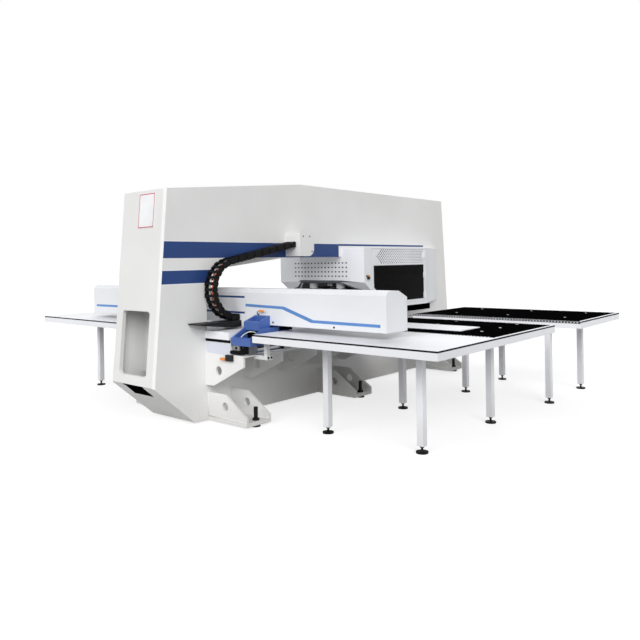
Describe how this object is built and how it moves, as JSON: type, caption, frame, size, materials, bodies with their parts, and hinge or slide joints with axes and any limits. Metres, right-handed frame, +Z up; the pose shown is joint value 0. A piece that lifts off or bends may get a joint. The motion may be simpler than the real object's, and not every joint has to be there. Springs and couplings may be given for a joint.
{
  "type": "cnc turret punch press",
  "caption": "Closed-frame punch press with twin turrets behind a guard, a sliding gantry beam with sheet clamps, a cable chain and brush tables on legs.",
  "frame": {"origin": "on the floor, under the centre of the frame", "axes": "+X along the gantry beam towards the cable chain's side, +Y from the closed back of the frame to its turret end, +Z up"},
  "size_m": [6.24, 5.49, 2.505],
  "materials": {
    "white_paint": "light warm grey semi-gloss coat",
    "blue_paint": "blue semi-gloss coat",
    "dark_paint": "dark grey coat",
    "black_steel": "blackened",
    "rail_steel": "ground",
    "tool_steel": "machined",
    "turret_iron": "machined and oiled",
    "brush": "bristle",
    "black_plastic": "moulded",
    "tinted_pane": "dark tinted sheet",
    "cable_orange": "extruded sheath",
    "plate_white": "blank plate"
  },
  "bodies": {
    "frame": {"main_frame": "white_paint", "levelling_bolts": "black_steel", "near_table": "white_paint", "far_table": "white_paint", "near_front_table": "white_paint", "far_front_table": "white_paint", "near_brushes": "brush", "far_brushes": "brush", "near_front_brushes": "brush", "far_front_brushes": "brush", "centre_table": "white_paint", "table_feet": "black_steel", "near_guide_beam": "white_paint", "far_guide_beam": "white_paint", "near_guide_rail": "rail_steel", "far_guide_rail": "rail_steel", "near_front_gussets": "white_paint", "far_front_gussets": "white_paint", "upper_turret_hub": "dark_paint", "lower_turret_hub": "dark_paint", "ram_cylinder": "dark_paint", "holder_bracket": "white_paint", "turret_guard": "white_paint", "door_locks": "black_plastic", "chain_box": "white_paint", "cable_chain": "black_plastic", "chain_cables": "cable_orange", "rear_plate": "plate_white", "limit_switch": "black_plastic"},
    "beam": {"gantry_beam": "dark_paint", "near_beam_cover": "white_paint", "far_beam_cover": "white_paint", "middle_beam_cover": "white_paint", "x_rails": "rail_steel", "near_saddle": "blue_paint", "far_saddle": "blue_paint", "near_bearing_blocks": "rail_steel", "far_bearing_blocks": "rail_steel", "chain_tray": "black_plastic"},
    "carriage": {"x_carriage": "dark_paint", "near_clamp": "tool_steel", "middle_clamp": "tool_steel", "far_clamp": "tool_steel"},
    "near_jaw": {"near_clamp_jaw": "tool_steel"},
    "middle_jaw": {"middle_clamp_jaw": "tool_steel"},
    "far_jaw": {"far_clamp_jaw": "tool_steel"},
    "upper_turret": {"upper_turret": "turret_iron", "punch_holders": "tool_steel"},
    "lower_turret": {"lower_turret": "turret_iron", "die_holders": "tool_steel"},
    "ram": {"ram": "tool_steel"},
    "near_holder": {"near_holder_rod": "rail_steel"},
    "far_holder": {"far_holder_rod": "rail_steel"},
    "near_door": {"near_guard_door": "white_paint", "near_guard_pane": "tinted_pane"},
    "far_door": {"far_guard_door": "white_paint", "far_guard_pane": "tinted_pane"}
  },
  "joints": [
    {"name": "beam_slide", "type": "slide", "parent": "frame", "child": "beam", "axis": [0, 1, 0], "range_m": [0, 1.45], "deforming": ["cable_chain", "chain_cables"]},
    {"name": "carriage_slide", "type": "slide", "parent": "beam", "child": "carriage", "axis": [1, 0, 0], "range_m": [-1.25, 1.25]},
    {"name": "near_jaw_tilt", "type": "hinge", "parent": "carriage", "child": "near_jaw", "pos_m": [0.75, -1.4427, 1.03], "axis": [1, 0, 0], "range_deg": [-3.5, 12]},
    {"name": "middle_jaw_tilt", "type": "hinge", "parent": "carriage", "child": "middle_jaw", "pos_m": [0, -1.4427, 1.03], "axis": [1, 0, 0], "range_deg": [-3.5, 12]},
    {"name": "far_jaw_tilt", "type": "hinge", "parent": "carriage", "child": "far_jaw", "pos_m": [-0.75, -1.4427, 1.03], "axis": [1, 0, 0], "range_deg": [-3.5, 12]},
    {"name": "upper_turret_turn", "type": "hinge", "parent": "frame", "child": "upper_turret", "pos_m": [0, 0.825, 1.08], "axis": [0, 0, 1], "continuous": true},
    {"name": "lower_turret_turn", "type": "hinge", "parent": "frame", "child": "lower_turret", "pos_m": [0, 0.825, 0.84], "axis": [0, 0, 1], "continuous": true},
    {"name": "ram_stroke", "type": "slide", "parent": "frame", "child": "ram", "axis": [0, 0, -1], "range_m": [0, 0.03]},
    {"name": "near_holder_stroke", "type": "slide", "parent": "frame", "child": "near_holder", "axis": [0, 0, -1], "range_m": [0, 0.035]},
    {"name": "far_holder_stroke", "type": "slide", "parent": "frame", "child": "far_holder", "axis": [0, 0, -1], "range_m": [0, 0.035]},
    {"name": "near_door_swing", "type": "hinge", "parent": "frame", "child": "near_door", "pos_m": [0.7233, 1.475, 1.4], "axis": [0, 0, 1], "range_deg": [0, 100]},
    {"name": "far_door_swing", "type": "hinge", "parent": "frame", "child": "far_door", "pos_m": [-0.7233, 1.475, 1.4], "axis": [0, 0, -1], "range_deg": [0, 100]}
  ],
  "couplings": [
    {"joint": "lower_turret_turn", "follows": "upper_turret_turn", "ratio": 1},
    {"joint": "near_jaw_tilt", "follows": "middle_jaw_tilt", "ratio": 1},
    {"joint": "far_jaw_tilt", "follows": "middle_jaw_tilt", "ratio": 1},
    {"joint": "near_holder_stroke", "follows": "far_holder_stroke", "ratio": 1}
  ]
}
